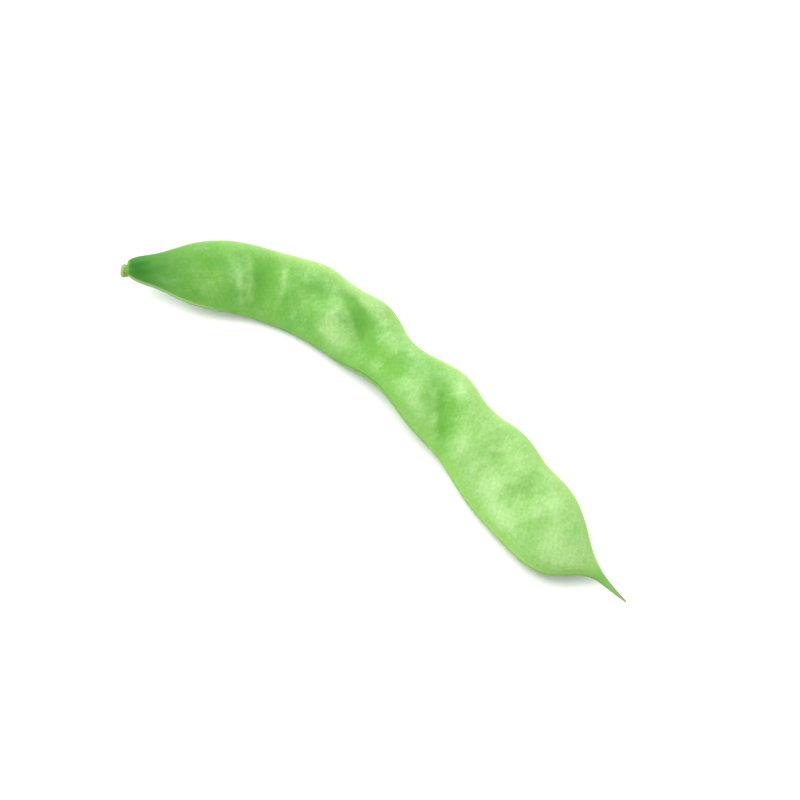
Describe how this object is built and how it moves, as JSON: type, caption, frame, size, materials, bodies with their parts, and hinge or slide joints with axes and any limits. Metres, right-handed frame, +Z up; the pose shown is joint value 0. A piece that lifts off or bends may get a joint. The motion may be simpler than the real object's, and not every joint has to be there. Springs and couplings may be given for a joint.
{
  "type": "green bean pod",
  "caption": "Whole flat green bean pod with a thin beak and a stalk stub, bent and slightly twisted, lying on its side.",
  "frame": {"origin": "middle of the box at the surface the pod lies on", "axes": "+X from the stalk stub towards the beak, +Y towards the back edge, +Z up out of the upper face"},
  "size_m": [0.1604, 0.0378, 0.0112],
  "materials": {
    "pod_skin": "satin, slightly translucent green skin with paler rims and a darker stem end",
    "stalk_tan": "dry, fibrous pale yellow-green stalk end"
  },
  "bodies": {
    "root": {"pod": "pod_skin", "stalk_stub": "stalk_tan"}
  },
  "joints": []
}
